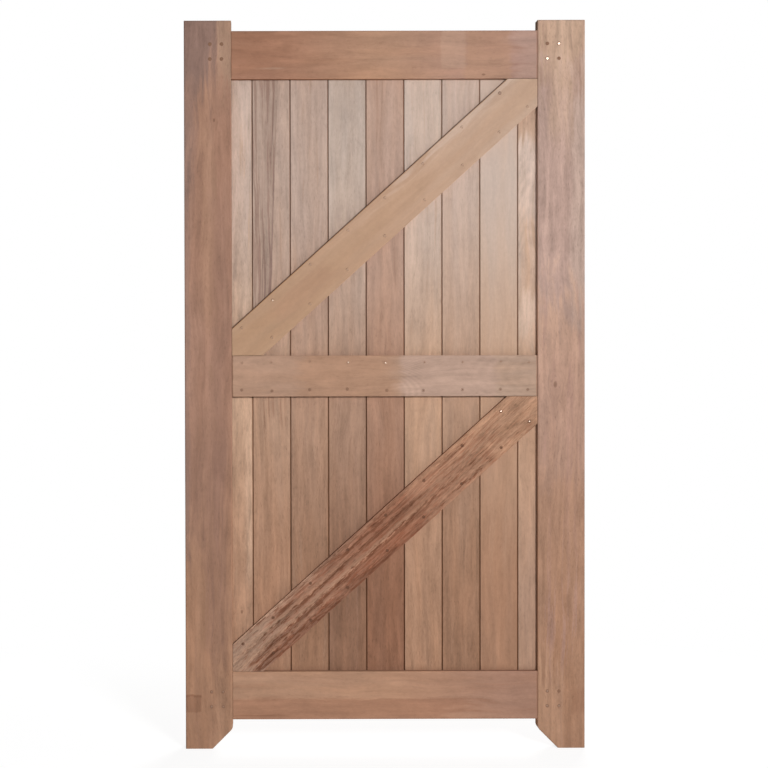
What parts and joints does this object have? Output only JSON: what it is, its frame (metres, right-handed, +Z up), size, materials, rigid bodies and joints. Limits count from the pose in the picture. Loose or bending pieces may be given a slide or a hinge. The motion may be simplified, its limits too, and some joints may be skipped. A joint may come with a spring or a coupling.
{
  "type": "wooden garden gate leaf",
  "caption": "Framed, ledged and braced hardwood garden gate leaf: pinned mortise and tenon frame around a panel of tongued and grooved upright boards.",
  "frame": {"origin": "foot of the hanging stile, on its outer edge face, midway through the thickness of the gate", "axes": "+X across the gate to the lock stile, +Y from the braced side to the plain side, +Z up"},
  "size_m": [1, 0.045, 1.82],
  "materials": {
    "stile_wood": "planed, unfinished hardwood",
    "rail_wood": "planed, unfinished hardwood",
    "middle_rail_wood": "planed, unfinished hardwood",
    "upper_brace_wood": "planed, unfinished hardwood",
    "lower_brace_wood": "planed, unfinished hardwood with dark streaks",
    "pale_board_wood": "planed, unfinished hardwood",
    "grey_board_wood": "planed, unfinished hardwood",
    "pink_board_wood": "planed, unfinished hardwood",
    "steel": "stainless, dull"
  },
  "bodies": {
    "root": {"hanging_stile": "stile_wood", "lock_stile": "stile_wood", "top_rail": "rail_wood", "bottom_rail": "rail_wood", "middle_rail": "middle_rail_wood", "upper_brace": "upper_brace_wood", "lower_brace": "lower_brace_wood", "board_1": "pale_board_wood", "board_2": "grey_board_wood", "board_3": "pink_board_wood", "board_4": "grey_board_wood", "board_5": "pink_board_wood", "board_6": "pale_board_wood", "board_7": "pink_board_wood", "board_8": "pale_board_wood", "board_9": "pale_board_wood", "top_hanging_pins": "steel", "top_lock_pins": "steel", "bottom_hanging_pins": "steel", "bottom_lock_pins": "steel"}
  },
  "joints": []
}
